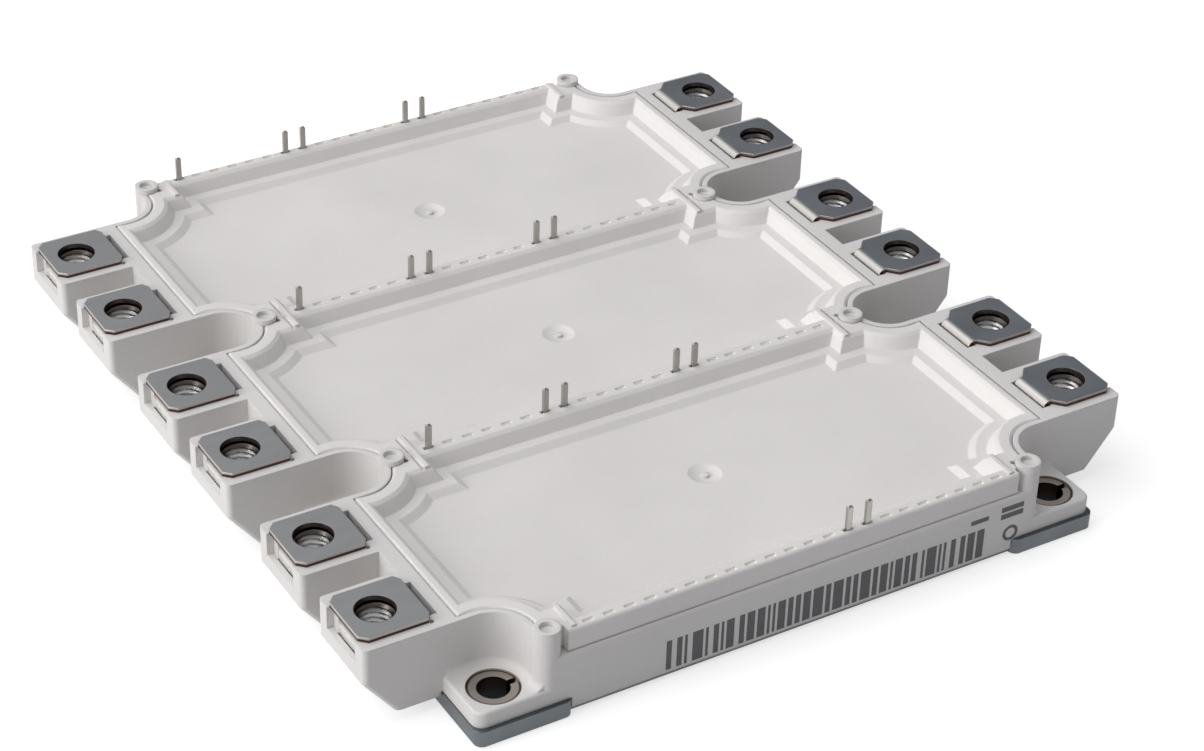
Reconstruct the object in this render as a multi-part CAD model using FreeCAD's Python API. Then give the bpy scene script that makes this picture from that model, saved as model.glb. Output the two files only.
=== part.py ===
# Three-phase transistor power module with screw terminals, in millimetres.
# The origin is the middle of the base plate's underside. X runs across the module to the
# screw terminals, Y runs along the three phases, and Z points up through the lid.
import FreeCAD, Part
import math
import os

# Plan layout shared by every piece
plate_width = 162.0
hole_edge = 6.0
phase_count = 3
phase_pitch = (plate_width - 2 * hole_edge) / phase_count
hole_span = 110.0
block_span = 149.2
terminal_edge = 6.1
terminal_span = block_span - 2 * terminal_edge
post_span = 94.2
end_post_outset = 3.0

# Base plate, with ears that reach out to the mounting holes
plate_length = 122.0
plate_thickness = 3.0
plate_setback = 1.4
plate_corner_r = 1.5
ear_inset = 11.4
ear_depth = 15.0
hole_r = 2.75

# Moulded frame
frame_setback = 0.8
frame_width = plate_width - 2 * frame_setback
body_span = 121.4
skirt_bottom = 1.0
skirt_gap = 0.1
bay_r = 6.0
slot_width = 6.0
block_bottom = 2.2
block_chamfer_x = 5.4
block_chamfer_z = 7.0
block_edge_r = 0.9
pad_top = 6.0
pad_margin = 0.2
pad_corner_r = 2.0
pad_edge_r = 0.5
pad_cove_r = 1.3
end_wall_thickness = 2.7
end_wall_top = 12.0
end_wall_round = 0.5
frame_lip = 1.05
cavity_inset = 1.0
bond_ledge = 1.6
window_half_x = 42.0
window_bar = 11.0
window_half_y = (phase_pitch - window_bar) / 2

# Domed posts for the circuit board screws
post_r = 2.2
post_top = 17.0
post_recess_r = 1.3
post_recess_depth = 0.7

# Slit metal bushes in the mounting pads
bush_wall = 1.5
bush_slit = 1.1
bush_recess = 0.2
bush_ring = 0.15
bush_ring_depth = 0.9

# Screw terminals, bent from sheet over captive nuts
terminal_top = 17.0
sheet = 0.9
tab_width = 12.4
tab_inner = 6.5
tab_outer = 5.6
tab_clip_inner = 1.8
tab_clip_outer = 1.3
tab_corner_r = 0.6
tab_hole_r = 3.4
neck_width = 8.4
bend_r = 1.7
leg_gap = 0.35
leg_slot_depth = 3.0
mark_r = 0.45
mark_out = 0.25
mark_side = 6.0
neck_gap = 0.1
foot_setback = 1.5
nut_flats = 10.0
nut_height = 5.0
nut_bore_r = 2.5
nut_headroom = 0.4
nut_gap = 0.15
screw_relief_r = 3.3
screw_relief_depth = 3.8
window_width = 9.8
sill_rise = 1.3

# Lid: one moulding with three stepped trays between slotted rails
lid_span = 115.4
lid_setback = 0.6
lid_width = frame_width - 2 * lid_setback
lid_seat = 11.5
lid_floor = 1.3
step_height = 0.9
wall_height = 2.5
lid_gap = 0.12
joint_gap = 0.15
rim_width = 1.9
lip_width = 2.7
rail_width = 3.6
end_rail_width = 2.6
rail_block_x = 42.0
rail_block_half = 5.1
lid_end_half = 44.2
lid_end_round = 0.6
wall_run = 1.4
shelf_width = 1.9
step_run = 1.3
edge_drop = 0.5
edge_run = 0.4
joint_bevel = 0.45
rib_width = 0.9
rib_height = 0.3
score_width = 0.3
score_depth = 0.35
channel_width = 1.8
channel_roof = 1.5
dimple_r = 3.0
dimple_depth = 0.6
pip_r = 0.7
pip_sink = 0.2
vent_r = 0.5
vent_back = 1.9
vent_side = 1.6

# Contact pins in a fixed grid of slots
pin_pitch = 3.81
pin_places = 22
pin_width = 1.0
pin_sheet = 0.64
pin_top = 21.0
pin_point = 0.25
pin_row_inset = 1.0
pin_toe = 1.2
slot_length = 1.9
slot_breadth = 0.7
slot_depth = 0.4

# Substrates and what they carry
copper = 0.3
ceramic_thickness = 0.63
substrate_margin = 0.5
copper_margin = 0.8
island_gap = 1.0
strip_depth = 5.5
gate_depth = 2.5
chip_thickness = 0.2
chip_pitch = 12.5
transistor_size = 10.0
diode_depth = 6.5
wire = 0.4
wire_rise = 1.7
wire_toe = 1.0
gel_top = 8.5
gel_pocket_gap = 0.3
thermistor = (3.2, 1.6, 1.1)

# Rows of contact pins: grid places of the pins, and which way their feet turn
pins_by_row = {
    "front": (0, (13, 14), 1),
    "front_mid": (1, (0, 6, 7, 13, 14), -1),
    "back_mid": (2, (0, 6, 7, 13, 14), -1),
    "back": (3, (0, 6, 7, 13, 14), -1),
}
phase_names = ("front", "middle", "back")

# Heights and places that follow from the sizes above
tab_bottom = terminal_top - sheet
foot_end = window_half_x + foot_setback
frame_top = tab_bottom
ledge_z = plate_thickness + bond_ledge
floor_z = lid_seat + lid_floor
shelf_z = floor_z + step_height
rim_top = shelf_z + wall_height
nut_bottom = tab_bottom - nut_headroom - nut_height
hole_x = hole_span / 2
terminal_x = terminal_span / 2
post_x = post_span / 2
body_x = body_span / 2
block_x = block_span / 2
frame_y = frame_width / 2
lid_x = lid_span / 2
lid_y = lid_width / 2
leg_x = terminal_x - tab_inner - bend_r
block_width = (phase_pitch - 2 * bay_r - slot_width) / 2
terminal_offset = (slot_width + block_width) / 2
lid_edge_r = bay_r + frame_lip + lid_gap
end_wall_y = frame_y - end_wall_thickness
cut_headroom = 10.0
above = pin_top + cut_headroom
sides = (-1, 1)

hole_rows = [(i - phase_count / 2) * phase_pitch for i in range(phase_count + 1)]
phase_rows = [(i - (phase_count - 1) / 2) * phase_pitch for i in range(phase_count)]
end_rows = (hole_rows[0], hole_rows[-1])
inner_rows = hole_rows[1:-1]


def post_y(row):
    """The post stands level with an inner hole row and outside an end row."""
    if row in end_rows:
        return row + math.copysign(end_post_outset, row)
    return row


def pin_y(row):
    if row in end_rows:
        return math.copysign(lid_y - pin_row_inset, row)
    return row


def box(x0, x1, y0, y1, z0, z1):
    corner = FreeCAD.Vector(min(x0, x1), min(y0, y1), min(z0, z1))
    return Part.makeBox(abs(x1 - x0), abs(y1 - y0), abs(z1 - z0), corner)


def cylinder(r, x, y, z0, z1):
    return Part.makeCylinder(r, z1 - z0, FreeCAD.Vector(x, y, z0))


def prism_xz(points, y0, y1):
    """A solid with the given outline in X and Z, from y0 to y1."""
    outline = [FreeCAD.Vector(x, y0, z) for x, z in points]
    face = Part.Face(Part.makePolygon(outline + outline[:1]))
    return face.extrude(FreeCAD.Vector(0, y1 - y0, 0))


def placed(shape, side, x, y, z=0.0):
    """Mirror a piece made for the +X side when it stands on the other one, and move it."""
    if side < 0:
        shape = shape.mirror(FreeCAD.Vector(0, 0, 0), FreeCAD.Vector(1, 0, 0))
    shape.translate(FreeCAD.Vector(x, y, z))
    return shape


def fused(shapes):
    return shapes[0].multiFuse(shapes[1:]).removeSplitter()


def hexagon(flats, x, y, z0, z1):
    """A six-sided prism with two flats facing along X."""
    r = flats / math.sqrt(3)
    turns = [math.radians(30 + 60 * i) for i in range(6)]
    outline = [FreeCAD.Vector(x + r * math.cos(a), y + r * math.sin(a), z0) for a in turns]
    face = Part.Face(Part.makePolygon(outline + outline[:1]))
    return face.extrude(FreeCAD.Vector(0, 0, z1 - z0))


def bay(side, row, r, z0, z1):
    """The clear space about a mounting hole, open towards the outside of the module."""
    far_x = block_x + bay_r
    if row in end_rows:
        out = math.copysign(1, row)
        far_y = out * (plate_width / 2 + bay_r)
        shapes = [
            cylinder(r, side * hole_x, row, z0, z1),
            box(side * hole_x, side * far_x, row - out * r, far_y, z0, z1),
            box(side * (hole_x - r), side * far_x, row, far_y, z0, z1),
        ]
    else:
        shapes = [
            cylinder(r, side * hole_x, row, z0, z1),
            box(side * hole_x, side * far_x, row - r, row + r, z0, z1),
        ]
    return fused(shapes)


def bays(r, z0, z1):
    return [bay(side, row, r, z0, z1) for side in sides for row in hole_rows]


def terminal_places():
    for side in sides:
        for phase, row in zip(phase_names, phase_rows):
            for label, step in (("a", -1), ("b", 1)):
                yield side, phase, label, row + step * terminal_offset


def tray_corner(side, end, phase_y, offset):
    """Points of one corner of a tray: rail, rail block, and the curve about a hole."""
    row = phase_y + end * phase_pitch / 2
    if row in end_rows:
        rail = end * (lid_y - end_rail_width - offset)
    else:
        rail = row - end * (rail_width / 2 + offset)
    face = post_y(row) - end * (rail_block_half + offset)
    r = lid_edge_r + lip_width + offset
    side_x = lid_x - rim_width - offset
    reach_x = math.sqrt(r ** 2 - (row - face) ** 2)
    reach_y = math.sqrt(r ** 2 - (hole_x - side_x) ** 2)
    block = rail_block_x - offset
    start = (hole_x - reach_x, face)
    stop = (side_x, row - end * reach_y)
    turn_start = math.atan2(start[1] - row, start[0] - hole_x) % (2 * math.pi)
    turn_stop = math.atan2(stop[1] - row, stop[0] - hole_x) % (2 * math.pi)
    middle = (turn_start + turn_stop) / 2
    bulge = (hole_x + r * math.cos(middle), row + r * math.sin(middle))
    points = [(block, rail), (block, face), start, bulge, stop]
    return [(side * x, y) for x, y in points]


def tray_wire(phase_y, offset, z):
    """The closed outline of one tray, shrunk by an offset, at a height."""
    def at(point):
        return FreeCAD.Vector(point[0], point[1], z)

    corners = [tray_corner(1, -1, phase_y, offset), tray_corner(1, 1, phase_y, offset)[::-1]]
    corners += [tray_corner(-1, 1, phase_y, offset), tray_corner(-1, -1, phase_y, offset)[::-1]]
    edges = []
    last = corners[-1][-1]
    for corner in corners:
        a, b, c, d, e = corner
        edges.append(Part.LineSegment(at(last), at(a)).toShape())
        if corner in (corners[0], corners[2]):
            edges.append(Part.LineSegment(at(a), at(b)).toShape())
            edges.append(Part.LineSegment(at(b), at(c)).toShape())
            edges.append(Part.Arc(at(c), at(d), at(e)).toShape())
        else:
            edges.append(Part.Arc(at(a), at(b), at(c)).toShape())
            edges.append(Part.LineSegment(at(c), at(d)).toShape())
            edges.append(Part.LineSegment(at(d), at(e)).toShape())
        last = corner[-1]
    return Part.Wire(edges)


def tray_space(phase_y, low, low_offset, high, high_offset):
    wires = [tray_wire(phase_y, low_offset, low), tray_wire(phase_y, high_offset, high)]
    return Part.makeLoft(wires, True, True)


def plate_blank(grow, z0, z1):
    """The base plate's outline: a core with ears at the mounting holes."""
    core_x = plate_length / 2 - plate_setback + grow
    core_y = plate_width / 2 - plate_setback + grow
    ear_x = plate_length / 2 + grow
    shapes = [box(-core_x, core_x, -core_y, core_y, z0, z1)]
    for side in sides:
        for row in inner_rows:
            shapes.append(box(0, side * ear_x, row - bay_r - grow, row + bay_r + grow, z0, z1))
        for end in sides:
            ear_y = plate_width / 2 + grow
            inner_x = hole_x - ear_inset - grow
            ear = box(side * inner_x, side * ear_x, end * (ear_y - ear_depth - grow), end * ear_y, z0, z1)
            edges = [e for e in ear.Edges if is_outer_corner(e, ear_x, ear_y, inner_x)]
            shapes.append(ear.makeFillet(plate_corner_r, edges))
    return fused(shapes)


def is_outer_corner(edge, ear_x, ear_y, inner_x):
    """Whether an edge is one of an ear's two upright edges on the outer face."""
    a, b = (v.Point for v in edge.Vertexes)
    upright = abs(a.x - b.x) < 1e-6 and abs(a.y - b.y) < 1e-6
    on_face = abs(abs(a.y) - ear_y) < 1e-6
    return upright and on_face and min(abs(abs(a.x) - ear_x), abs(abs(a.x) - inner_x)) < 1e-6


def base_plate():
    plate = plate_blank(0.0, 0.0, plate_thickness)
    holes = [cylinder(hole_r, side * hole_x, row, -1, plate_thickness + 1) for side in sides for row in hole_rows]
    return plate.cut(holes)


def mounting_bushes():
    """Eight slit sleeves that stand on the plate inside the plastic pads."""
    shapes = []
    top = pad_top - bush_recess
    for side in sides:
        for row in hole_rows:
            x = side * hole_x
            outer = cylinder(hole_r + bush_wall, x, row, plate_thickness, top)
            bore = cylinder(hole_r, x, row, plate_thickness - 1, top + 1)
            slit = box(x, x + 2 * hole_r + bush_wall, row - bush_slit / 2, row + bush_slit / 2, 0, above)
            shapes.append(outer.cut([bore, slit]))
    return Part.makeCompound(shapes)


def terminal_block(side, y):
    """The solid under one screw terminal, with its lower outer corner cut away."""
    half = block_width / 2
    slope_x = block_x - block_chamfer_x
    slope_z = block_bottom + block_chamfer_z
    inner = body_x - 1.0
    outline = [(inner, block_bottom), (slope_x, block_bottom), (block_x, slope_z),
               (block_x, frame_top), (inner, frame_top)]
    block = prism_xz(outline, -half, half)
    edges = []
    for edge in block.Edges:
        a, b = (v.Point for v in edge.Vertexes)
        along_side = abs(a.y - b.y) < 1e-6
        outer = min(a.x, b.x) > slope_x - 1e-6
        if along_side and outer:
            edges.append(edge)
    return placed(block.makeFillet(block_edge_r, edges), side, 0, y)


def coved_bay(side, row):
    """The clear space above a pad, rounded where its walls meet the pad."""
    space = bay(side, row, bay_r, pad_top, above)
    far_x = block_x + bay_r
    far_y = plate_width / 2 + bay_r
    edges = []
    for edge in space.Edges:
        low = max(v.Z for v in edge.Vertexes) < pad_top + 1e-6
        box_x = max(abs(edge.BoundBox.XMin), abs(edge.BoundBox.XMax))
        box_y = max(abs(edge.BoundBox.YMin), abs(edge.BoundBox.YMax))
        at_far_x = edge.BoundBox.XLength < 1e-3 and abs(box_x - far_x) < 1e-3
        at_far_y = edge.BoundBox.YLength < 1e-3 and abs(box_y - far_y) < 1e-3
        if low and not at_far_x and not at_far_y:
            edges.append(edge)
    return space.makeFillet(pad_cove_r, edges)


def post_flare(side, row):
    """The rounded foot of a corner post, where it meets its pad."""
    x, y = side * post_x, post_y(row)
    top = pad_top + pad_cove_r
    reach = post_r + pad_cove_r
    ring = Part.makeTorus(reach, pad_cove_r, FreeCAD.Vector(x, y, top))
    return cylinder(reach, x, y, pad_top - pad_edge_r, top).cut(ring)


def mounting_pad(side, row):
    """One pad on the base plate's ear, with a cove that leads up to the bay's wall."""
    x = plate_length / 2 - pad_margin
    reach = bay_r + pad_cove_r
    top = pad_top + pad_cove_r
    if row not in end_rows:
        pad = box(side * (hole_x - reach), side * x, row - reach, row + reach, plate_thickness, top)
        return pad.cut(coved_bay(side, row))
    out = math.copysign(1, row)
    y = frame_y
    pad = box(side * post_x, side * x, row - out * bay_r, out * y, plate_thickness, pad_top)
    pad = pad.makeFillet(pad_corner_r, [e for e in pad.Edges if is_pad_corner(e, x, y)])
    pad = pad.makeFillet(pad_edge_r, [e for e in pad.Edges if is_pad_rim(e, x, y)])
    cove = box(side * (hole_x - reach), side * (x - pad_edge_r), row - out * reach, post_y(row), pad_top - pad_edge_r,
               top)
    cove = cove.cut(coved_bay(side, row))
    flare = post_flare(side, row).common(box(side * post_x, side * x, row, out * (y - pad_edge_r), 0, top))
    return fused([pad, cove, flare])


def is_pad_corner(edge, x, y):
    a, b = (v.Point for v in edge.Vertexes)
    upright = abs(a.z - b.z) > 1e-6
    return upright and abs(abs(a.x) - x) < 1e-6 and abs(abs(a.y) - y) < 1e-6


def is_pad_rim(edge, x, y):
    """Whether an edge runs along a pad's top on one of its outer faces or their round corner."""
    return all(abs(v.Z - pad_top) < 1e-6 and min(abs(abs(v.X) - x), abs(abs(v.Y) - y)) < 1e-6
               for v in edge.Vertexes)


def lid_blank(grow, grow_y, z0, z1):
    """The lid's outline in plan, grown for the pocket that holds it."""
    blank = box(-lid_x - grow, lid_x + grow, -lid_y - grow_y, lid_y + grow_y, z0, z1)
    cuts = bays(lid_edge_r - grow, z0 - 1, z1 + 1)
    for side in sides:
        for row in hole_rows:
            cuts.append(cylinder(post_r + lid_gap - grow, side * post_x, post_y(row), z0 - 1, z1 + 1))
        for row in end_rows:
            far = math.copysign(frame_width, row)
            cuts.append(box(side * (lid_end_half + grow), side * body_span, post_y(row), far, z0 - 1, z1 + 1))
    return blank.cut(cuts)


def frame_body():
    """The frame's outside: a box with bays cut in, terminal blocks, pads and skirt."""
    body = box(-body_x, body_x, -frame_y, frame_y, skirt_bottom, frame_top)
    cuts = bays(bay_r, skirt_bottom - 1, frame_top + 1)
    for side in sides:
        for row in end_rows:
            far = math.copysign(frame_width, row)
            cuts.append(box(side * post_x, side * body_span, post_y(row), far, 0, above))
    body = body.cut(cuts)
    blocks = [terminal_block(side, y) for side, phase, label, y in terminal_places()]
    pads = [mounting_pad(side, row) for side in sides for row in hole_rows]
    return fused([body] + blocks + pads)


def end_rounds(y, top, r, half):
    """What rounds off the upper edge of both end walls: a bar less a rod along X."""
    cuts = []
    for end in sides:
        bar = box(-half, half, end * (y - r), end * frame_width, top - r, above)
        start = FreeCAD.Vector(-half, end * (y - r), top - r)
        cuts.append(bar.cut(Part.makeCylinder(r, 2 * half, start, FreeCAD.Vector(1, 0, 0))))
    return cuts


def frame_cavities():
    """Three cells under the lid, each with a window down to the base plate."""
    shapes = []
    for y in phase_rows:
        shapes.append(tray_space(y, ledge_z, cavity_inset, lid_seat + 1, cavity_inset))
        shapes.append(box(-window_half_x, window_half_x, y - window_half_y, y + window_half_y, 0, ledge_z + 1))
    return shapes


def lid_pocket():
    deep = lid_blank(lid_gap, lid_gap, lid_seat, above)
    deep = deep.common(box(-body_span, body_span, -end_wall_y, end_wall_y, 0, 2 * above))
    shapes = [deep, lid_blank(lid_gap, end_wall_thickness, end_wall_top, above)]
    for side in sides:
        for row in end_rows:
            far = math.copysign(frame_width, row)
            shapes.append(box(side * lid_end_half, side * post_x, post_y(row), far, end_wall_top, above))
    return shapes + end_rounds(frame_y, end_wall_top, end_wall_round, post_x)


def terminal_cuts(side, y):
    """Room for a terminal's leg, bend and foot, its nut, and the screw below the nut."""
    half = neck_width / 2 + neck_gap
    slot_half = neck_width / 2 + leg_gap
    leg_out = leg_x + sheet
    inner = leg_x - leg_gap
    nut_face = terminal_x + nut_flats / 2
    shapes = [
        box(leg_x - neck_gap, leg_out, -half, half, ledge_z, above),
        box(inner, leg_out, -slot_half, slot_half, frame_top - leg_slot_depth, above),
        box(inner, leg_x + bend_r, -slot_half, slot_half, terminal_top - bend_r, above),
        box(foot_end, leg_out, -half, half, ledge_z, ledge_z + sheet + neck_gap),
        hexagon(nut_flats + 2 * nut_gap, terminal_x, 0, nut_bottom, above),
        cylinder(screw_relief_r, terminal_x, 0, nut_bottom - screw_relief_depth, nut_bottom + 1),
        box(nut_face - nut_gap, block_x + 1, -window_width / 2, window_width / 2, nut_bottom + sill_rise, above),
    ]
    if side < 0:
        mark_x = leg_x + bend_r - mark_out
        shapes.append(cylinder(mark_r, mark_x, -mark_side, frame_top - leg_slot_depth, above))
    return [placed(shape, side, 0, y) for shape in shapes]


def pad_cuts(side, row):
    x = side * hole_x
    bush = cylinder(hole_r + bush_wall, x, row, plate_thickness - 1, above)
    ring = cylinder(hole_r + bush_wall + bush_ring, x, row, pad_top - bush_ring_depth, above)
    return [bush, ring]


def housing_frame():
    frame = frame_body()
    cuts = lid_pocket() + frame_cavities() + [plate_blank(skirt_gap, -1, plate_thickness)]
    for side, phase, label, y in terminal_places():
        cuts += terminal_cuts(side, y)
    for side in sides:
        for row in hole_rows:
            cuts += pad_cuts(side, row)
    cuts += [shape for name, shape in contact_pins()]
    frame = frame.cut(cuts)
    posts = []
    holes = []
    for side in sides:
        for row in hole_rows:
            x, y = side * post_x, post_y(row)
            posts.append(cylinder(post_r, x, y, plate_thickness, post_top))
            holes.append(cylinder(post_recess_r, x, y, post_top - post_recess_depth, above))
    return fused([frame] + posts).cut(holes)


def terminal():
    """One terminal on the +X side: flat tab, bend, leg through the wall, and bonding foot."""
    half = neck_width / 2
    bend_x = leg_x + bend_r
    bend_z = terminal_top - bend_r
    inner_r = bend_r - sheet
    diagonal = math.sqrt(0.5)

    def at(x, z):
        return FreeCAD.Vector(x, -half, z)

    outer_arc = Part.Arc(at(bend_x, terminal_top),
                         at(bend_x - bend_r * diagonal, bend_z + bend_r * diagonal),
                         at(leg_x, bend_z))
    inner_arc = Part.Arc(at(leg_x + sheet, bend_z),
                         at(bend_x - inner_r * diagonal, bend_z + inner_r * diagonal),
                         at(bend_x, tab_bottom))
    corners = [at(leg_x, bend_z), at(leg_x, ledge_z + sheet), at(foot_end, ledge_z + sheet),
               at(foot_end, ledge_z), at(leg_x + sheet, ledge_z), at(leg_x + sheet, bend_z)]
    edges = [outer_arc.toShape()]
    edges += [Part.LineSegment(a, b).toShape() for a, b in zip(corners, corners[1:])]
    edges += [inner_arc.toShape(), Part.LineSegment(at(bend_x, tab_bottom), at(bend_x, terminal_top)).toShape()]
    strip = Part.Face(Part.Wire(edges)).extrude(FreeCAD.Vector(0, neck_width, 0))
    end_x = terminal_x + tab_outer
    wide = tab_width / 2
    plan = [(bend_x, half), (bend_x + tab_clip_inner, wide), (end_x - tab_clip_outer, wide),
            (end_x, wide - tab_clip_outer)]
    plan += [(x, -y) for x, y in reversed(plan)]
    outline = [FreeCAD.Vector(x, y, tab_bottom) for x, y in plan]
    tab = Part.Face(Part.makePolygon(outline + outline[:1])).extrude(FreeCAD.Vector(0, 0, sheet))
    corners = [e for e in tab.Edges if abs(e.Vertexes[0].Z - e.Vertexes[1].Z) > 1e-6
               and e.Vertexes[0].X > bend_x + 1e-6]
    tab = tab.makeFillet(tab_corner_r, corners)
    hole = cylinder(tab_hole_r, terminal_x, 0, tab_bottom - 1, terminal_top + 1)
    return fused([strip, tab]).cut(hole)


def terminal_nuts():
    """Twelve captive nuts, one under each tab."""
    shapes = []
    for side, phase, label, y in terminal_places():
        x = side * terminal_x
        nut = hexagon(nut_flats, x, y, nut_bottom, nut_bottom + nut_height)
        shapes.append(nut.cut(cylinder(nut_bore_r, x, y, nut_bottom - 1, above)))
    return Part.makeCompound(shapes)


def pin_x(place):
    return (place - (pin_places - 1) / 2) * pin_pitch


def contact_pin(x, row, turn):
    """An upright blade whose foot turns onto the bonding ledge beside a substrate."""
    y = pin_y(row)
    nearest = min(phase_rows, key=lambda phase: abs(phase - (y + turn * phase_pitch / 2)))
    toe = nearest - turn * (window_half_y + pin_toe)
    blade = box(x - pin_width / 2, x + pin_width / 2, y - pin_sheet / 2, y + pin_sheet / 2, ledge_z, pin_top)
    tip = [e for e in blade.Edges if min(v.Z for v in e.Vertexes) > pin_top - 1e-6]
    blade = blade.makeChamfer(pin_point, tip)
    back = y - turn * pin_sheet / 2
    foot = box(x - pin_width / 2, x + pin_width / 2, back, toe, ledge_z, ledge_z + pin_sheet)
    return fused([blade, foot])


def contact_pins():
    pins = []
    for row_name, (row_index, places, turn) in pins_by_row.items():
        for place in places:
            name = "pin_{}_{:02.0f}".format(row_name, place + 1)
            pins.append((name, contact_pin(pin_x(place), hole_rows[row_index], turn)))
    return pins


def lid_rail_blocks():
    """Raised ribs across the ends of the rails."""
    shapes = []
    for side in sides:
        for row in hole_rows:
            y = post_y(row)
            low = max(y - rail_block_half, -lid_y)
            high = min(y + rail_block_half, lid_y)
            x = side * (rail_block_x + edge_run)
            shapes.append(box(x, x + side * rib_width, low, high, shelf_z, rim_top + rib_height))
    return shapes


def lid_details():
    """Slots for pins, channels under the inner rails, score lines and vent holes."""
    cuts = []
    for row_index, row in enumerate(hole_rows):
        y = pin_y(row)
        used = [place for index, places, turn in pins_by_row.values() for place in places if index == row_index]
        for place in range(pin_places):
            x = pin_x(place)
            bottom = 0 if place in used else rim_top - slot_depth
            cuts.append(box(x - slot_length / 2, x + slot_length / 2, y - slot_breadth / 2,
                            y + slot_breadth / 2, bottom, above))
    for row in inner_rows:
        reach = rail_block_x - rib_width
        half = channel_width / 2
        cuts.append(box(-reach, reach, row - half, row + half, 0, rim_top - channel_roof))
    for side in sides:
        for row in hole_rows:
            y = post_y(row)
            if row in inner_rows:
                score = side * (rail_block_x + edge_run + rib_width + score_width)
                cuts.append(box(score, score + side * score_width, y - rail_block_half, y + rail_block_half,
                                rim_top - score_depth, above))
            x = side * (post_x - vent_back)
            cuts.append(cylinder(vent_r, x, y + side * vent_side, 0, above))
    return cuts


def joint_bevels():
    """Bevels on the lid's top edge, along its sides and about the mounting holes."""
    cuts = []
    low = rim_top - joint_bevel
    for side in sides:
        for y in phase_rows:
            reach = phase_pitch / 2 - lid_edge_r
            outline = [(lid_x - joint_bevel, rim_top), (lid_x, low), (lid_x + 1, low), (lid_x + 1, above),
                       (lid_x - joint_bevel, above)]
            cuts.append(placed(prism_xz(outline, -reach, reach), side, 0, y))
        for row in hole_rows:
            cuts.append(Part.makeCone(lid_edge_r, lid_edge_r + joint_bevel, joint_bevel,
                                      FreeCAD.Vector(side * hole_x, row, low)))
    return cuts


def dimple(y):
    """A round dent in a tray's floor."""
    r = (dimple_r ** 2 + dimple_depth ** 2) / (2 * dimple_depth)
    return Part.makeSphere(r, FreeCAD.Vector(0, y, floor_z + r - dimple_depth))


def lid():
    blank = lid_blank(0.0, 0.0, lid_seat, rim_top)
    blank = fused([blank] + lid_rail_blocks())
    cuts = lid_details() + joint_bevels() + end_rounds(lid_y, rim_top, lid_end_round, lid_end_half)
    edge_low = wall_run * edge_drop / wall_height
    for y in phase_rows:
        cuts.append(tray_space(y, shelf_z, wall_run, rim_top, 0.0))
        cuts.append(tray_space(y, rim_top - edge_drop, edge_low, rim_top, -edge_run))
        cuts.append(tray_space(y, floor_z, wall_run + shelf_width + step_run, shelf_z, wall_run + shelf_width))
        cuts.append(dimple(y))
    for end in sides:
        cuts.append(box(-lid_x, lid_x, end * (end_wall_y - lid_gap), end * frame_width, 0, end_wall_top + joint_gap))
    pips = [cylinder(pip_r, 0, y, floor_z - dimple_depth, floor_z - pip_sink) for y in phase_rows]
    return fused([blank.cut(cuts)] + pips)


def substrate_half():
    """Half sizes of a ceramic tile, inside the frame's window."""
    return window_half_x - substrate_margin, window_half_y - substrate_margin


def ceramic(y):
    half_x, half_y = substrate_half()
    bottom = plate_thickness + copper
    return box(-half_x, half_x, y - half_y, y + half_y, bottom, bottom + ceramic_thickness)


def lower_copper(y):
    half_x, half_y = substrate_half()
    half_x -= copper_margin
    half_y -= copper_margin
    return box(-half_x, half_x, y - half_y, y + half_y, plate_thickness, plate_thickness + copper)


copper_top = plate_thickness + copper + ceramic_thickness + copper
copper_half_x = window_half_x - substrate_margin - copper_margin
copper_half_y = window_half_y - substrate_margin - copper_margin
strip_edge = copper_half_y - strip_depth
gate_edge = copper_half_y - gate_depth
chip_top = copper_top + chip_thickness
field_start = -gate_edge + island_gap
field_depth = strip_edge - island_gap - field_start
chip_gap = (field_depth - transistor_size - diode_depth) / 3
transistor_y = field_start + chip_gap + transistor_size / 2
diode_y = transistor_y + transistor_size / 2 + chip_gap + diode_depth / 2


def upper_copper(y):
    """Separate copper fields on a tile: on each half a main field, a strip and a gate track."""
    shapes = []
    for side in sides:
        x0 = side * island_gap / 2
        x1 = side * copper_half_x
        bottom = copper_top - copper
        for low, high in ((strip_edge, copper_half_y), (field_start, field_start + field_depth),
                          (-copper_half_y, -gate_edge)):
            shapes.append(box(x0, x1, y + low, y + high, bottom, copper_top))
    return Part.makeCompound(shapes)


def chip_places():
    middle = (island_gap / 2 + copper_half_x) / 2
    return [side * (middle + step * chip_pitch) for side in sides for step in (-1, 0, 1)]


def chips(y, depth):
    half_x = transistor_size / 2
    return Part.makeCompound([box(x - half_x, x + half_x, y - depth / 2, y + depth / 2, copper_top, chip_top)
                              for x in chip_places()])


def bond_wire(length, z0, z1):
    """An arched wire along +X with a flat toe at each end, centred on Y."""
    top = max(z0, z1) + wire_rise
    third = length / 3
    outline = [(-wire_toe, z0), (0, z0), (third, top - wire), (2 * third, top - wire), (length, z1),
               (length + wire_toe, z1), (length + wire_toe, z1 + wire), (length, z1 + wire),
               (2 * third, top), (third, top), (0, z0 + wire), (-wire_toe, z0 + wire)]
    return prism_xz(outline, -wire / 2, wire / 2)


def bond_wires(y):
    """Wires from the transistors over the diodes to a strip, and from the feet to the copper."""
    shapes = []
    start = y + transistor_y + transistor_size / 2 - wire_toe
    stop = y + (strip_edge + copper_half_y) / 2
    for x in chip_places():
        for step in (-1, 1):
            shape = bond_wire(stop - start, chip_top, copper_top)
            shape.rotate(FreeCAD.Vector(0, 0, 0), FreeCAD.Vector(0, 0, 1), 90)
            shape.translate(FreeCAD.Vector(x + step * transistor_size / 4, start, 0))
            shapes.append(shape)
    reach = foot_end - copper_half_x + 2 * wire_toe
    for side in sides:
        for step in (-1, 1):
            for edge in (-1, 1):
                shape = bond_wire(reach, copper_top, ledge_z + sheet)
                wire_y = y + step * terminal_offset + edge * neck_width / 4
                shapes.append(placed(shape, side, side * (copper_half_x - wire_toe), wire_y))
    return Part.makeCompound(shapes)


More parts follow.
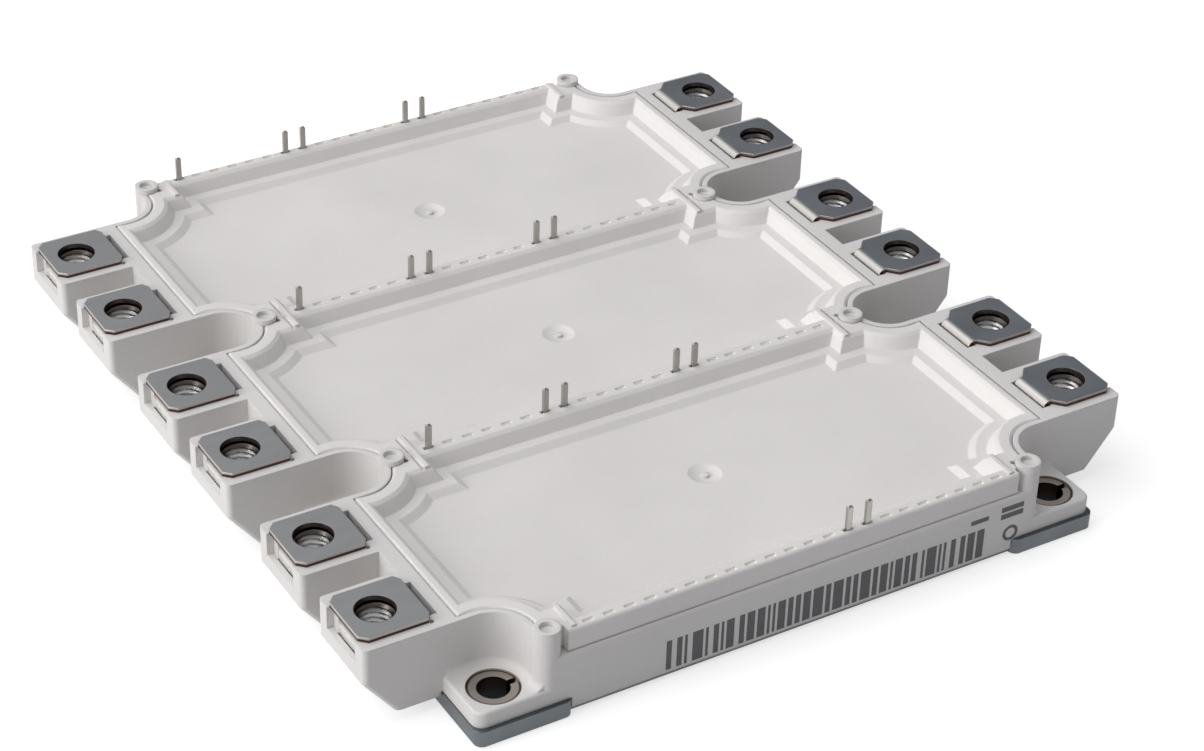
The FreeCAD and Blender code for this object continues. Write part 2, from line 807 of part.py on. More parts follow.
def gel(y):
    """Soft filling of one cell, with a plain pocket over the chips, wires and feet."""
    low = box(-window_half_x, window_half_x, y - window_half_y, y + window_half_y, plate_thickness, ledge_z)
    high = tray_space(y, ledge_z, cavity_inset, gel_top, cavity_inset)
    pocket_top = ledge_z + sheet + wire_rise + gel_pocket_gap
    inner_x = foot_end + 2 * wire_toe + gel_pocket_gap
    pocket = box(-inner_x, inner_x, y - window_half_y, y + window_half_y, 0, pocket_top)
    feet = []
    for side in sides:
        for step in (-1, 1):
            half = neck_width / 2
            foot_y = y + step * terminal_offset
            feet.append(box(side * foot_end, side * leg_x, foot_y - half, foot_y + half,
                            ledge_z, ledge_z + sheet))
    pins = [shape for name, shape in contact_pins()]
    return fused([low, high]).cut([pocket] + feet + pins)


def ntc_thermistor(y):
    """A small sensor soldered across the end of a gate track."""
    length, depth, height = thermistor
    x = -copper_half_x + length
    track = y - (copper_half_y + gate_edge) / 2
    return box(x, x + length, track - depth / 2, track + depth / 2, copper_top, copper_top + height)


def save(name, shape):
    shape.exportStep("parts/" + name + ".step")


def main():
    os.makedirs("parts", exist_ok=True)
    save("base_plate", base_plate())
    save("housing_frame", housing_frame())
    save("lid", lid())
    save("mounting_bushes", mounting_bushes())
    save("terminal_nuts", terminal_nuts())
    for side, phase, label, y in terminal_places():
        side_name = "left" if side < 0 else "right"
        name = "terminal_{}_{}_{}".format(side_name, phase, label)
        save(name, placed(terminal(), side, 0, y))
    for name, shape in contact_pins():
        save(name, shape)
    for phase, y in zip(phase_names, phase_rows):
        save("ceramic_tile_" + phase, ceramic(y))
        save("lower_copper_" + phase, lower_copper(y))
        save("upper_copper_" + phase, upper_copper(y))
        save("transistor_chips_" + phase, chips(y + transistor_y, transistor_size))
        save("diode_chips_" + phase, chips(y + diode_y, diode_depth))
        save("bond_wires_" + phase, bond_wires(y))
        save("gel_" + phase, gel(y))
    save("ntc_thermistor", ntc_thermistor(phase_rows[-1]))


main()
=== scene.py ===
import bmesh
import bpy
import math
import random
from mathutils import Matrix, Vector


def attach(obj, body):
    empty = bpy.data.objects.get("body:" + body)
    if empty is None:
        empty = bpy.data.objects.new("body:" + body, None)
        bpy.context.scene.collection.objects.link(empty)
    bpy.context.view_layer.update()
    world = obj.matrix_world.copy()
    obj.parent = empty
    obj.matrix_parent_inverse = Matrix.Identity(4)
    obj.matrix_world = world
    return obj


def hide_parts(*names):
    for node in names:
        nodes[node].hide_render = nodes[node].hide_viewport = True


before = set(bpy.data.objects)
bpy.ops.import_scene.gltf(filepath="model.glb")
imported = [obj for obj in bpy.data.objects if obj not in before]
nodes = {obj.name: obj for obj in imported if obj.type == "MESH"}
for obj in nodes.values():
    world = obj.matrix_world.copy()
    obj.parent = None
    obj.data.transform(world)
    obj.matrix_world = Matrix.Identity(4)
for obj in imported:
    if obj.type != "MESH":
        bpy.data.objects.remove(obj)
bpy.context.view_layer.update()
print("frame loaded:", len(nodes), "nodes")

mm = 0.001

# Camera fitted to the picture: place in metres, turns in degrees, axisPixel where its axis meets the picture
view = {
    "place": (-0.23129, -0.38999, 0.30488),
    "turns": (56.4194, -1.5063, -30.6889),
    "lens": 88.374,
    "sensor": 36.0,
    "clip": (0.01, 50.0),
    "pixels": (1204, 751),
    "axisPixel": (601.29, 374.79),
}
wide, tall = view["pixels"]
cameraData = bpy.data.cameras.new("productCamera")
cameraData.sensor_width = view["sensor"]
cameraData.lens = view["lens"]
cameraData.clip_start, cameraData.clip_end = view["clip"]
cameraData.shift_x = (wide / 2 - view["axisPixel"][0]) / wide
cameraData.shift_y = (view["axisPixel"][1] - tall / 2) / wide
camera = bpy.data.objects.new("productCamera", cameraData)
camera.location = view["place"]
camera.rotation_euler = [math.radians(turn) for turn in view["turns"]]
bpy.context.collection.objects.link(camera)
bpy.context.scene.camera = camera
bpy.context.scene.view_settings.view_transform = "Standard"
print("camera set")


# sRGB hex to the linear colour that shaders take
def linear(hexText):
    parts = [int(hexText[i:i + 2], 16) / 255 for i in (1, 3, 5)]
    return [p / 12.92 if p <= 0.04045 else ((p + 0.055) / 1.055) ** 2.4 for p in parts] + [1.0]


# One shader node: settings holds its properties and socket values, links its incoming sockets
def addNode(tree, kind, settings=None, **links):
    node = tree.nodes.new(kind)
    for name, value in (settings or {}).items():
        if isinstance(name, int) or name in node.inputs:
            node.inputs[name].default_value = value
        else:
            setattr(node, name, value)
    for name, source in links.items():
        key = int(name[1:]) if name[0] == "_" else name.replace("_", " ")
        tree.links.new(source, node.inputs[key])
    return node


# A maths node whose terms are sockets or numbers
def maths(tree, operation, *terms):
    node = addNode(tree, "ShaderNodeMath", {"operation": operation})
    for socket, term in zip(node.inputs, terms):
        if isinstance(term, bpy.types.NodeSocket):
            tree.links.new(term, socket)
        else:
            socket.default_value = term
    return node.outputs[0]


# A colour laid over another by a share, where each colour is a socket or a hex value
def mixed(tree, share, under, over):
    node = addNode(tree, "ShaderNodeMix", {"data_type": "RGBA"}, _0=share)
    for socket, colour in ((node.inputs[6], under), (node.inputs[7], over)):
        if isinstance(colour, str):
            socket.default_value = linear(colour)
        else:
            tree.links.new(colour, socket)
    return node.outputs[2]


def noise(tree, place, sizeMm, detail):
    settings = {"Scale": 1 / (sizeMm * mm), "Detail": detail}
    return addNode(tree, "ShaderNodeTexNoise", settings, Vector=place).outputs["Fac"]


# A value read from a range ("From") or set into one ("To")
def ranged(tree, value, side, low, high):
    settings = {side + " Min": low, side + " Max": high}
    return addNode(tree, "ShaderNodeMapRange", settings, Value=value).outputs["Result"]


# The lighter tone comes first in the pair
def twoTones(tree, value, tones, stops):
    ramp = addNode(tree, "ShaderNodeValToRGB", {}, Fac=value)
    for element, stop, tone in zip(ramp.color_ramp.elements, stops, reversed(tones)):
        element.position = stop
        element.color = linear(tone)
    return ramp.outputs["Color"]


def separated(tree, source):
    return addNode(tree, "ShaderNodeSeparateXYZ", {}, Vector=source).outputs


# One where a point lies inside or outside a radius about upright axes that repeat along Y
def fromAxes(tree, place, compare, radius, axes):
    centreX, pitch, centreY = axes
    spot = separated(tree, place)
    wrapped = maths(tree, "WRAP", spot["Y"], pitch * mm, -pitch * mm)
    x = maths(tree, "SUBTRACT", maths(tree, "ABSOLUTE", spot["X"]), centreX * mm)
    y = maths(tree, "SUBTRACT", maths(tree, "ABSOLUTE", wrapped), centreY * mm)
    offsets = addNode(tree, "ShaderNodeCombineXYZ", {}, X=x, Y=y)
    reach = addNode(tree, "ShaderNodeVectorMath", {"operation": "LENGTH"}, _0=offsets.outputs[0])
    return maths(tree, compare, reach.outputs["Value"], radius * mm)


def newMaterial(name):
    material = bpy.data.materials.new(name)
    material.use_nodes = True
    tree = material.node_tree
    tree.nodes.clear()
    output = addNode(tree, "ShaderNodeOutputMaterial")
    shader = addNode(tree, "ShaderNodeBsdfPrincipled")
    tree.links.new(shader.outputs[0], output.inputs["Surface"])
    return material, tree, shader


# Colour and roughness, with a fine grain over softly broken edges
def surfaced(tree, shader, colour, rough, grain, relief):
    tree.links.new(colour, shader.inputs["Base Color"])
    tree.links.new(rough, shader.inputs["Roughness"])
    edge = addNode(tree, "ShaderNodeBevel", {"samples": relief["samples"], "Radius": relief["edgeMm"] * mm})
    bump = addNode(tree, "ShaderNodeBump", {"Strength": relief["strength"], "Distance": relief["depthMm"] * mm},
                   Height=grain, Normal=edge.outputs["Normal"])
    tree.links.new(bump.outputs["Normal"], shader.inputs["Normal"])


def wear(node, material):
    mesh = nodes[node].data
    mesh.materials.clear()
    mesh.materials.append(material)


# Axes in millimetres: distance from the middle in X, pitch along Y, and first place along Y
screwAxes = (68.5, 25.0, 11.0)
boltAxes = (55.0, 25.0, 25.0)

# PBT moulded with glass fibre in a spark-eroded mould: matte, faintly mottled by the fibres, with soft thin
# highlights along its edges. The grain is drawn coarser than real, so that it shows at this size.
moulding = {
    "frame": ("#dad7d5", "#d2cfcd"),
    "lid": ("#e1dddb", "#dad6d4"),
    "mottleMm": 22.0,  # broad faint clouds
    "mottleDetail": 3.0,
    "fleckMm": 0.8,  # bundles of fibre near the skin
    "fleckDetail": 2.0,
    "fleckShare": 0.35,
    "toneStops": (0.45, 0.9),
    "roughness": (0.46, 0.6),
    "refraction": 1.5,
    "grainMm": 0.45,
    "grainDetail": 2.0,
    "relief": {"samples": 6, "edgeMm": 0.4, "strength": 0.12, "depthMm": 0.02},
}

# Painted light in the thin lid slots, as if lit from above, and painted shade in the gap round each bush
hollowLightAndShade = {
    "slotRowsMm": (25.0, 78.6),  # either way from the middle, along Y
    "slotHalfMm": 0.4,
    "slotBelowMm": 16.12,
    "slotPaintedLight": "#fbf8f0",
    "gapMm": 4.5,  # within this of a bolt's axis
    "gapPaintedShade": "#938a80",
}


def mouldedPbt(name, tones, slotGlow=False, gapShade=False):
    material, tree, shader = newMaterial(name)
    place = addNode(tree, "ShaderNodeTexCoord").outputs["Object"]
    mottle = noise(tree, place, moulding["mottleMm"], moulding["mottleDetail"])
    fleck = noise(tree, place, moulding["fleckMm"], moulding["fleckDetail"])
    both = maths(tree, "MULTIPLY_ADD", fleck, moulding["fleckShare"], mottle)
    colour = twoTones(tree, both, tones, moulding["toneStops"])
    # Painted light: the lid slots glow as if lit from above
    if slotGlow:
        spot = separated(tree, place)
        away = maths(tree, "ABSOLUTE", spot["Y"])
        rows = [maths(tree, "COMPARE", away, row * mm, hollowLightAndShade["slotHalfMm"] * mm)
                for row in hollowLightAndShade["slotRowsMm"]]
        low = maths(tree, "LESS_THAN", spot["Z"], hollowLightAndShade["slotBelowMm"] * mm)
        inSlot = maths(tree, "MULTIPLY", maths(tree, "MAXIMUM", *rows), low)
        colour = mixed(tree, inSlot, colour, hollowLightAndShade["slotPaintedLight"])
    # Painted shade in the gap round each bush
    if gapShade:
        inGap = fromAxes(tree, place, "LESS_THAN", hollowLightAndShade["gapMm"], boltAxes)
        colour = mixed(tree, inGap, colour, hollowLightAndShade["gapPaintedShade"])
    rough = ranged(tree, mottle, "To", *moulding["roughness"])
    grain = noise(tree, place, moulding["grainMm"], moulding["grainDetail"])
    surfaced(tree, shader, colour, rough, grain, moulding["relief"])
    shader.inputs["IOR"].default_value = moulding["refraction"]
    return material


wear("housing_frame", mouldedPbt("glassFilledPbtFrame", moulding["frame"], gapShade=True))
wear("lid", mouldedPbt("glassFilledPbtLid", moulding["lid"], slotGlow=True))
print("mouldings finished")

# What the metals share: clouded tones, and a grain stretched along the way the sheet was rolled, which spreads
# the highlights. The grain is drawn coarser than real.
metal = {
    "cloudMm": 9.0,
    "cloudDetail": 4.0,
    "toneStops": (0.3, 0.75),
    "grainMm": 0.6,
    "grainStretch": 8.0,
    "grainDetail": 3.0,
    "relief": {"samples": 6, "edgeMm": 0.22, "strength": 0.15, "depthMm": 0.01},
    "sideBelow": 0.3,  # a face is a side where its normal rises less than this
}

# Nickel-plated copper sheet: satin grey on top, bare red-brown copper where it was sheared after plating, and
# paler along the rounded rims, as wear and a painted highlight. The left-hand row has a painted reflection, the
# bend a painted highlight.
terminal = {
    "tones": ("#9c9fa3", "#888b90"),
    "roughness": (0.36, 0.5),
    "axes": screwAxes,
    "rings": [("LESS_THAN", 3.46, "#5f5856")],  # painted shade on the wall of the screw hole
    "shearAndSheen": {
        "copper": ("#6e4d45", "#43332f"),
        "burrMm": 1.2,
        "burrDetail": 2.0,
        "beyondX": 61.9,  # sides are bare past this, and all that face along Y
        "belowZ": 16.62,  # only below the plated top skin
        "acrossAbove": 0.5,  # how squarely a side faces along Y
        "holeMm": 3.6,
        # painted highlight along the rounded rims, which also stands for wear
        "rim": "#c4bcb0",
        "rimMm": 0.32,
        "rimSamples": 8,
        "rimRange": (0.995, 0.93),  # from a flat place to a full edge
        # painted reflection: the left-hand row is paler
        "leftRowPaintedReflection": "#b4b5b6",
        "leftReach": (60.0, -60.0),  # from the right-hand row to the left-hand one
        # painted highlight on the bend
        "bend": "#c9c6c0",
        "bendFacing": (-0.12, -0.6),  # how far a face turns to the left
    },
}

# Tin-plated blades: whiter and a little smoother than the terminals
pin = {
    "tones": ("#c0bdb7", "#a6a39d"),
    "roughness": (0.3, 0.42),
}

# Base plate of nickel-plated copper: dull blue-grey, with painted shade nearly black inside the bolt holes
plate = {
    "tones": ("#74787b", "#63676a"),
    "roughness": (0.36, 0.5),
    "axes": boltAxes,
    "rings": [("LESS_THAN", 4.6, "#22282b")],  # painted shade on the walls of the bolt holes
}

# Bright nickel on turned nuts: pale with sharper highlights, a painted highlight on the thread, painted light
# on the outer sides, and painted shade near the top, where the tab and its hole shade them
nutFinish = {
    "tones": ("#c6c7c5", "#a9aba9"),
    "roughness": (0.22, 0.34),
    "axes": screwAxes,
    "rings": [("LESS_THAN", 3.3, "#f8f7f4"), ("GREATER_THAN", 4.8, "#f2f2ee")],  # painted highlight on the thread, painted light on the outer sides
    "shade": "#645e5b",
    "shadeReach": (13.7, 15.2),  # heights in millimetres
}

# Bushes rolled from bare steel strip: warm grey rims, and painted shade on the walls
bush = {
    "tones": ("#bab2aa", "#a49c94"),
    "roughness": (0.4, 0.55),
    "axes": boltAxes,
    "rings": [("GREATER_THAN", 4.0, "#6a6058")],  # darker beyond this radius, towards the plastic
    # painted shade on the walls
    "sides": "#2e2320",
}


def sheetShearAndSheen(tree, coords, isSide, colour, look):
    place = coords.outputs["Object"]
    spot = separated(tree, place)
    normal = separated(tree, coords.outputs["Normal"])
    outside = fromAxes(tree, place, "GREATER_THAN", look["holeMm"], screwAxes)
    # Painted reflection: paler towards the left-hand row
    toLeft = ranged(tree, spot["X"], "From", *[x * mm for x in look["leftReach"]])
    colour = mixed(tree, toLeft, colour, look["leftRowPaintedReflection"])
    # Painted highlight on the bend, on faces turned to the left
    facing = ranged(tree, normal["X"], "From", *look["bendFacing"])
    notSide = maths(tree, "SUBTRACT", 1.0, isSide)
    onBend = maths(tree, "MULTIPLY", maths(tree, "MULTIPLY", facing, notSide), outside)
    colour = mixed(tree, onBend, colour, look["bend"])
    isAcross = maths(tree, "GREATER_THAN", maths(tree, "ABSOLUTE", normal["Y"]), look["acrossAbove"])
    isTab = maths(tree, "GREATER_THAN", maths(tree, "ABSOLUTE", spot["X"]), look["beyondX"] * mm)
    edges = maths(tree, "MULTIPLY", isSide, maths(tree, "MAXIMUM", isAcross, isTab))
    low = maths(tree, "LESS_THAN", spot["Z"], look["belowZ"] * mm)
    bare = maths(tree, "MULTIPLY", maths(tree, "MULTIPLY", edges, low), outside)
    copper = mixed(tree, noise(tree, place, look["burrMm"], look["burrDetail"]), *look["copper"])
    # Paler along the rounded rims: a painted highlight, and wear
    rounded = addNode(tree, "ShaderNodeBevel", {"samples": look["rimSamples"], "Radius": look["rimMm"] * mm})
    turn = addNode(tree, "ShaderNodeVectorMath", {"operation": "DOT_PRODUCT"}, _0=rounded.outputs[0],
                   _1=addNode(tree, "ShaderNodeNewGeometry").outputs["True Normal"])
    wornAndLitRim = ranged(tree, turn.outputs["Value"], "From", *look["rimRange"])
    return mixed(tree, bare, mixed(tree, wornAndLitRim, colour, look["rim"]), copper)


def metalSurface(name, finish):
    material, tree, shader = newMaterial(name)
    coords = addNode(tree, "ShaderNodeTexCoord")
    place = coords.outputs["Object"]
    clouds = noise(tree, place, metal["cloudMm"], metal["cloudDetail"])
    colour = twoTones(tree, clouds, finish["tones"], metal["toneStops"])
    stretch = metal["grainStretch"]
    along = addNode(tree, "ShaderNodeMapping", {"Scale": (1.0, stretch, stretch)}, Vector=place)
    grain = noise(tree, along.outputs["Vector"], stretch * metal["grainMm"], metal["grainDetail"])
    rough = ranged(tree, grain, "To", *finish["roughness"])
    upright = maths(tree, "ABSOLUTE", separated(tree, coords.outputs["Normal"])["Z"])
    isSide = maths(tree, "LESS_THAN", upright, metal["sideBelow"])
    if "shearAndSheen" in finish:
        colour = sheetShearAndSheen(tree, coords, isSide, colour, finish["shearAndSheen"])
    # Rings about the axes: for some finishes these are painted shade, painted highlight and painted light
    for compare, radius, tint in finish.get("rings", ()):
        colour = mixed(tree, fromAxes(tree, place, compare, radius, finish["axes"]), colour, tint)
    # Painted shade on the sides, for a finish that has it
    if "sides" in finish:
        colour = mixed(tree, isSide, colour, finish["sides"])
    # Painted shade towards the top, for a finish that has it
    if "shade" in finish:
        deep = ranged(tree, separated(tree, place)["Z"], "From", *[z * mm for z in finish["shadeReach"]])
        colour = mixed(tree, deep, colour, finish["shade"])
    shader.inputs["Metallic"].default_value = 1.0
    surfaced(tree, shader, colour, rough, grain, metal["relief"])
    return material


terminalMetal = metalSurface("nickelPlatedCopperTerminal", terminal)
pinMetal = metalSurface("tinPlatedPin", pin)
nutMetal = metalSurface("brightNickelNut", nutFinish)
for name in nodes:
    if name.startswith("terminal_") and name != "terminal_nuts":
        wear(name, terminalMetal)
    elif name.startswith("pin_"):
        wear(name, pinMetal)
wear("terminal_nuts", nutMetal)
wear("base_plate", metalSurface("nickelPlatedBasePlate", plate))
wear("mounting_bushes", metalSurface("rolledSteelBush", bush))
print("metals finished")

# Pieces sealed under the lid: material, light and dark tone, metallic, roughness, size of the blotches in mm
inside = {
    "ceramic_tile": ("aluminaTile", "#eeeae2", "#e2dccf", 0.0, 0.55, 3.0),  # dense and chalky white
    "lower_copper": ("bareCopper", "#c98562", "#b5714f", 1.0, 0.38, 4.0),  # etched copper, salmon and satin
    "upper_copper": ("bareCopperTop", "#cc8a66", "#b77553", 1.0, 0.36, 4.0),  # the same, a shade fresher
    "transistor_chips": ("metallisedChip", "#9aa0a6", "#868c94", 0.8, 0.3, 2.0),  # metal on silicon, cool
    "diode_chips": ("metallisedDiode", "#a3a6a8", "#8d9196", 0.8, 0.3, 2.0),  # the same, a shade paler
    "bond_wires": ("drawnAluminiumWire", "#d4d6d8", "#bfc2c6", 1.0, 0.34, 1.0),  # bright and drawn smooth
    "gel": ("clearSiliconeGel", "#d8dad4", "#cdd0c8", 0.0, 0.18, 8.0),  # milky and wet-looking
    "ntc_thermistor": ("sensorCeramic", "#4e4a46", "#3c3936", 0.0, 0.5, 0.8),  # dark fired body
}
insideDetail = 3.0
insideSpread = 0.06  # how far the roughness swings either way
for start, (name, light, dark, metallic, roughness, blotchMm) in inside.items():
    material, tree, shader = newMaterial(name)
    blotch = noise(tree, addNode(tree, "ShaderNodeTexCoord").outputs["Object"], blotchMm, insideDetail)
    tree.links.new(mixed(tree, blotch, light, dark), shader.inputs["Base Color"])
    shader.inputs["Metallic"].default_value = metallic
    rough = ranged(tree, blotch, "To", roughness - insideSpread, roughness + insideSpread)
    tree.links.new(rough, shader.inputs["Roughness"])
    for node in nodes:
        if node.startswith(start):
            wear(node, material)
print("inner pieces finished")


def newPiece(name, bm, material):
    mesh = bpy.data.meshes.new(name)
    bm.to_mesh(mesh)
    bm.free()
    piece = bpy.data.objects.new(name, mesh)
    bpy.context.collection.objects.link(piece)
    mesh.materials.append(material)
    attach(piece, "root")
    return piece


# M6 nuts with chamfered corners and a real thread, in place of the plain hexagons
nut = {
    "rowsX": (-68.5, 68.5),
    "placesY": (-61.0, -39.0, -11.0, 11.0, 39.0, 61.0),
    "bottom": 10.7,
    "height": 5.0,
    "flats": 10.0,
    "faceR": 4.75,  # flat end face inside the chamfer
    "faceSlope": math.tan(math.radians(30)),
    "minorR": 2.5,
    "majorR": 3.0,
    "pitch": 1.0,
    "mouthR": 3.15,
    "mouthSlope": 0.5 / math.tan(math.radians(30)),  # of the bore's countersink
    "stepsRound": 60,
    "rowsPerPitch": 6,
}


# Outline of a nut in radius and height at one angle, from the bore's foot round to its outer foot
def nutRing(angle):
    toFlat = (angle - math.pi / 6) % (math.pi / 3) - math.pi / 6
    side = nut["flats"] / 2 / math.cos(toFlat)
    height = nut["height"]
    rows = int(height / nut["pitch"]) * nut["rowsPerPitch"]
    points = []
    for i in range(rows + 1):
        z = height * i / rows
        swing = abs((z / nut["pitch"] - angle / (2 * math.pi)) % 1 - 0.5) * 2
        thread = nut["minorR"] + (nut["majorR"] - nut["minorR"]) * swing
        mouth = nut["mouthR"] - min(z, height - z) * nut["mouthSlope"]
        points.append((max(thread, mouth), z))
    drop = (side - nut["faceR"]) * nut["faceSlope"]
    points += [(nut["faceR"], height), (side, height - drop), (side, drop), (nut["faceR"], 0.0)]
    return points


# No operator cuts a thread that closes on a chamfered hexagon, so each nut is skinned over its outlines
def threadedNuts():
    bm = bmesh.new()
    steps = nut["stepsRound"]
    for x, y in [(x, y) for x in nut["rowsX"] for y in nut["placesY"]]:
        rings = []
        for angle in [2 * math.pi * i / steps for i in range(steps)]:
            points = [Vector((x + r * math.cos(angle), y + r * math.sin(angle), nut["bottom"] + z))
                      for r, z in nutRing(angle)]
            rings.append([bm.verts.new(point * mm) for point in points])
        for ring, after in zip(rings, rings[1:] + rings[:1]):
            for i in range(len(ring)):
                j = (i + 1) % len(ring)
                bm.faces.new((ring[i], after[i], after[j], ring[j]))
    bmesh.ops.recalc_face_normals(bm, faces=bm.faces)
    return bm


nuts = newPiece("threadedNuts", threadedNuts(), nutMetal)
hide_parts("terminal_nuts")
print("nuts threaded")

# Left-hand terminals: the plate keeps its full width to the inner end, and the folded strip is tucked under it
leftTab = {
    "top": 17.0,
    "sheet": 0.9,
    "screwX": 68.5,
    "holeR": 3.4,
    "holeSteps": 60,
    "innerX": 61.45,
    "outerX": 74.1,
    "halfWidth": 6.2,
    "innerClip": (0.8, 1.3),  # corners cut along X and Y
    "outerClip": 1.3,
    "neckHalf": 4.2,
    "legX": 60.3,
    "knee": (60.9, 16.6),  # corner of the side view in X and Z, which is rounded
    "kneeR": 0.75,
    "kneeSteps": 6,
    "kneeProfile": 0.5,
    "underKnee": [(60.9, 15.8), (60.3, 15.25)],
    "root": [(61.2, 15.35), (61.75, 15.9), (62.2, 16.2), (62.2, 16.6)],
}


# Turns flat faces into a solid by pulling a copy of them along a way in millimetres
def pulled(bm, faces, way):
    grown = bmesh.ops.extrude_face_region(bm, geom=faces)["geom"]
    moved = [v for v in grown if isinstance(v, bmesh.types.BMVert)]
    bmesh.ops.translate(bm, verts=moved, vec=Vector(way) * mm)


def terminalPlate(bm, y):
    x0, x1, half = leftTab["innerX"], leftTab["outerX"], leftTab["halfWidth"]
    clipX, clipY = leftTab["innerClip"]
    outer = leftTab["outerClip"]
    outline = [(x0, half - clipY), (x0 + clipX, half), (x1 - outer, half), (x1, half - outer)]
    outline += [(x, -across) for x, across in reversed(outline)]
    rim = [bm.verts.new(Vector((-x, y + across, leftTab["top"])) * mm) for x, across in outline]
    edges = [bm.edges.new(pair) for pair in zip(rim, rim[1:] + rim[:1])]
    axis = Matrix.Translation(Vector((-leftTab["screwX"], y, leftTab["top"])) * mm)
    hole = bmesh.ops.create_circle(bm, segments=leftTab["holeSteps"], radius=leftTab["holeR"] * mm,
                                   matrix=axis)["verts"]
    edges += list({e for v in hole for e in v.link_edges})
    filled = bmesh.ops.triangle_fill(bm, edges=edges, use_beauty=True)["geom"]
    pulled(bm, [f for f in filled if isinstance(f, bmesh.types.BMFace)], (0, 0, -leftTab["sheet"]))


def terminalStrip(bm, y, footX, footZ):
    sheet, legX, neck = leftTab["sheet"], leftTab["legX"], leftTab["neckHalf"]
    foot = [(legX, footZ + sheet), (footX, footZ + sheet), (footX, footZ), (legX + sheet, footZ)]
    side = [leftTab["knee"]] + leftTab["underKnee"] + foot + leftTab["root"]
    face = bm.faces.new([bm.verts.new(Vector((-x, y - neck, z)) * mm) for x, z in side])
    knee = face.verts[0]
    pulled(bm, [face], (0, 2 * neck, 0))
    fold = [e for e in knee.link_edges if abs(e.verts[0].co.y - e.verts[1].co.y) > neck * mm]
    bmesh.ops.bevel(bm, geom=fold, offset=leftTab["kneeR"] * mm, affect="EDGES", segments=leftTab["kneeSteps"],
                    profile=leftTab["kneeProfile"], material=-1)


for node in [n for n in nodes if n.startswith("terminal_left_")]:
    corners = [v.co / mm for v in nodes[node].data.vertices]
    middle = (min(c.y for c in corners) + max(c.y for c in corners)) / 2
    bm = bmesh.new()
    terminalPlate(bm, middle)
    terminalStrip(bm, middle, min(-c.x for c in corners), min(c.z for c in corners))
    bmesh.ops.recalc_face_normals(bm, faces=bm.faces)
    tab = newPiece(node.replace("terminal_", "sheetTerminal_"), bm, terminalMetal)
    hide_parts(node)
print("left terminals laid in")

# Plastic darkened by a laser: dark grey without shine, a little uneven where the beam passed
darkened = {
    "tones": ("#4e4e51", "#626264"),
    "unevenMm": 0.7,
    "unevenDetail": 3.0,
    "roughness": 0.62,
}
ink, tree, shader = newMaterial("laserDarkenedPlastic")
uneven = noise(tree, addNode(tree, "ShaderNodeTexCoord").outputs["Object"], darkened["unevenMm"],
               darkened["unevenDetail"])
tree.links.new(mixed(tree, uneven, *darkened["tones"]), shader.inputs["Base Color"])
shader.inputs["Roughness"].default_value = darkened["roughness"]

# Marks on the front wall: plain bars and simple shapes, with the wall left bare beside them. The bars' widths
# and gaps are drawn by chance as whole modules.
wallPrint = {
    "wallY": -80.2,
    "thickness": 0.03,
    "bars": (-26.1, 37.4, 1.6, 7.5),  # x0, x1, z0, z1, as in dash and block
    "moduleMm": 0.5,
    "barModules": (1, 1, 2, 2, 3, 4),
    "gapModules": (1, 1, 1, 2),
    "seed": 11,
    "dash": (34.3, 38.0, 9.0, 9.9),
    "block": (40.7, 45.4, 8.0, 10.5),
    "blockGapHalf": 0.2,
    "ring": (43.1, 4.6, 1.6, 1.0),  # x, z, outer and inner radius
    "ringSteps": 40,
}


def flatBar(bm, x0, x1, z0, z1):
    thickness = wallPrint["thickness"]
    centre = Vector(((x0 + x1) / 2, wallPrint["wallY"] - thickness / 2, (z0 + z1) / 2)) * mm
    size = Vector((x1 - x0, thickness, z1 - z0)) * mm
    bmesh.ops.create_cube(bm, size=1.0, matrix=Matrix.Translation(centre) @ Matrix.Diagonal((*size, 1.0)))


def printOnWall():
    random.seed(wallPrint["seed"])
    bm = bmesh.new()
    x, x1, z0, z1 = wallPrint["bars"]
    step = wallPrint["moduleMm"]
    while x < x1 - step:
        width = step * random.choice(wallPrint["barModules"])
        flatBar(bm, x, min(x + width, x1), z0, z1)
        x += width + step * random.choice(wallPrint["gapModules"])
    flatBar(bm, *wallPrint["dash"])
    x0, x1, z0, z1 = wallPrint["block"]
    middle, gap = (z0 + z1) / 2, wallPrint["blockGapHalf"]
    flatBar(bm, x0, x1, z0, middle - gap)
    flatBar(bm, x0, x1, middle + gap, z1)
    ringX, ringZ, outer, inner = wallPrint["ring"]
    centre = Matrix.Translation(Vector((ringX, wallPrint["wallY"], ringZ)) * mm)
    upright = centre @ Matrix.Rotation(math.pi / 2, 4, "X")
    band, hole = [bmesh.ops.create_circle(bm, segments=wallPrint["ringSteps"], radius=r * mm,
                                          matrix=upright)["verts"] for r in (outer, inner)]
    rims = [e for e in bm.edges if all(v in band for v in e.verts) or all(v in hole for v in e.verts)]
    pulled(bm, bmesh.ops.bridge_loops(bm, edges=rims)["faces"], (0, -wallPrint["thickness"], 0))
    bmesh.ops.recalc_face_normals(bm, faces=bm.faces)
    return bm


newPiece("wallPrint", printOnWall(), ink)
print("print laid on the front wall")

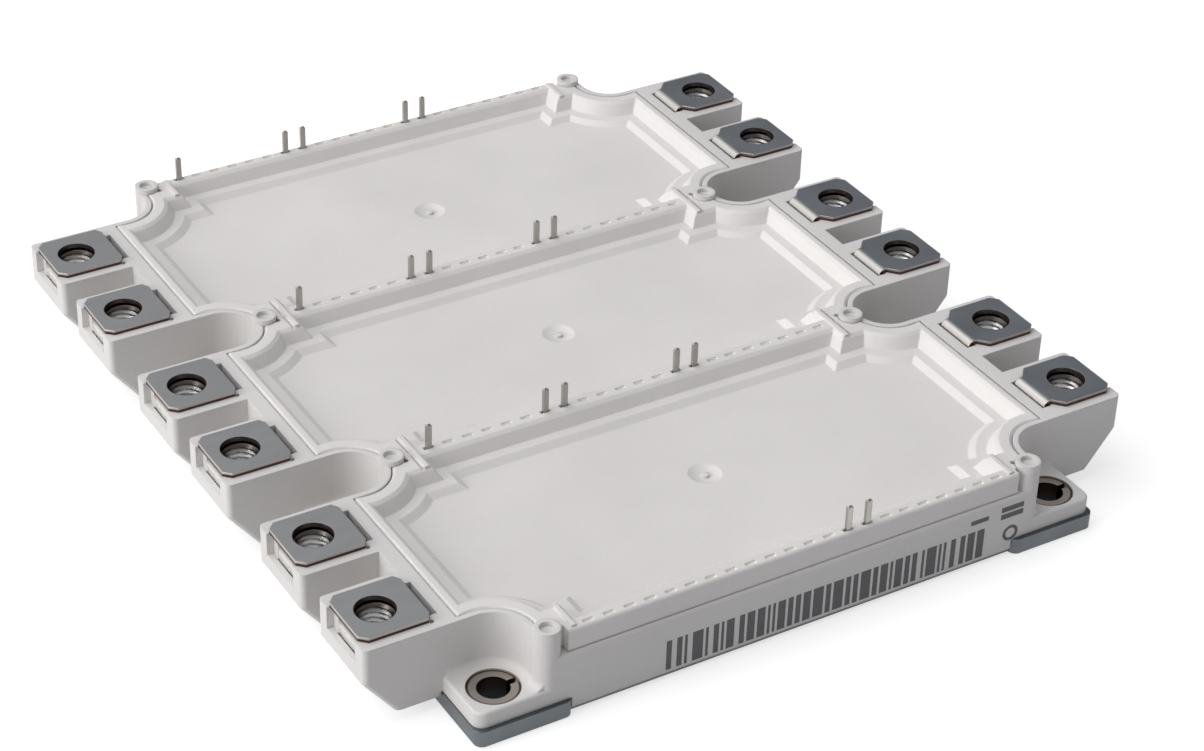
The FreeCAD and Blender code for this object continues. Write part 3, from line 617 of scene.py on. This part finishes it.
# Painted floor that looks white and keeps a soft shadow, and plain soft lamps in a pale surround
studio = {
    "floorSize": 8.0,
    "floorDrop": 0.0002,  # metres, just clear of the base plate
    "floorAlbedo": "#c8c8c8",
    "floorGlow": 0.62,
    "worldColour": "#f9fbff",
    "worldStrength": 0.365,
    "lamps": {
        "overhead": {"place": (-0.3, 0.15, 1.1), "aim": (0, 0, 0), "size": 0.9, "power": 5.0},
        "backLeft": {"place": (-0.85, 1.25, 0.98), "aim": (0, 0, 0), "size": 1.9, "power": 9.0},
        "left": {"place": (-1.5, -0.05, 0.5), "aim": (0, 0, 0), "size": 0.8, "power": 12.5},
    },
}
floorMaterial = bpy.data.materials.new("paintedStudioFloor")
floorMaterial.use_nodes = True
tree = floorMaterial.node_tree
tree.nodes.clear()
output = addNode(tree, "ShaderNodeOutputMaterial")
paint = addNode(tree, "ShaderNodeBsdfDiffuse", {"Color": linear(studio["floorAlbedo"])})
glow = addNode(tree, "ShaderNodeEmission", {"Strength": studio["floorGlow"]})
bright = addNode(tree, "ShaderNodeAddShader", {}, _0=paint.outputs[0], _1=glow.outputs[0])
path = addNode(tree, "ShaderNodeLightPath").outputs  # the glow is seen, but lights nothing
reflected = maths(tree, "MAXIMUM", path["Is Camera Ray"], path["Is Glossy Ray"])
seen = maths(tree, "MAXIMUM", reflected, path["Is Transmission Ray"])
pick = addNode(tree, "ShaderNodeMixShader", {}, _0=seen, _1=paint.outputs[0], _2=bright.outputs[0])
tree.links.new(pick.outputs[0], output.inputs["Surface"])
floorBm = bmesh.new()
bmesh.ops.create_grid(floorBm, x_segments=1, y_segments=1, size=studio["floorSize"] / 2,
                      matrix=Matrix.Translation((0, 0, -studio["floorDrop"])))
floorMesh = bpy.data.meshes.new("studioFloor")
floorBm.to_mesh(floorMesh)
floorBm.free()
floor = bpy.data.objects.new("studioFloor", floorMesh)
bpy.context.collection.objects.link(floor)
floorMesh.materials.append(floorMaterial)

world = bpy.data.worlds.new("studioAir")
world.use_nodes = True
bpy.context.scene.world = world
background = world.node_tree.nodes["Background"]
background.inputs["Color"].default_value = linear(studio["worldColour"])
background.inputs["Strength"].default_value = studio["worldStrength"]
for name, lamp in studio["lamps"].items():
    data = bpy.data.lights.new(name, "AREA")
    data.size = lamp["size"]
    data.energy = lamp["power"]
    light = bpy.data.objects.new(name, data)
    light.location = lamp["place"]
    aim = Vector(lamp["aim"]) - Vector(lamp["place"])
    light.rotation_euler = aim.to_track_quat("-Z", "Y").to_euler()
    bpy.context.collection.objects.link(light)
print("studio lit")
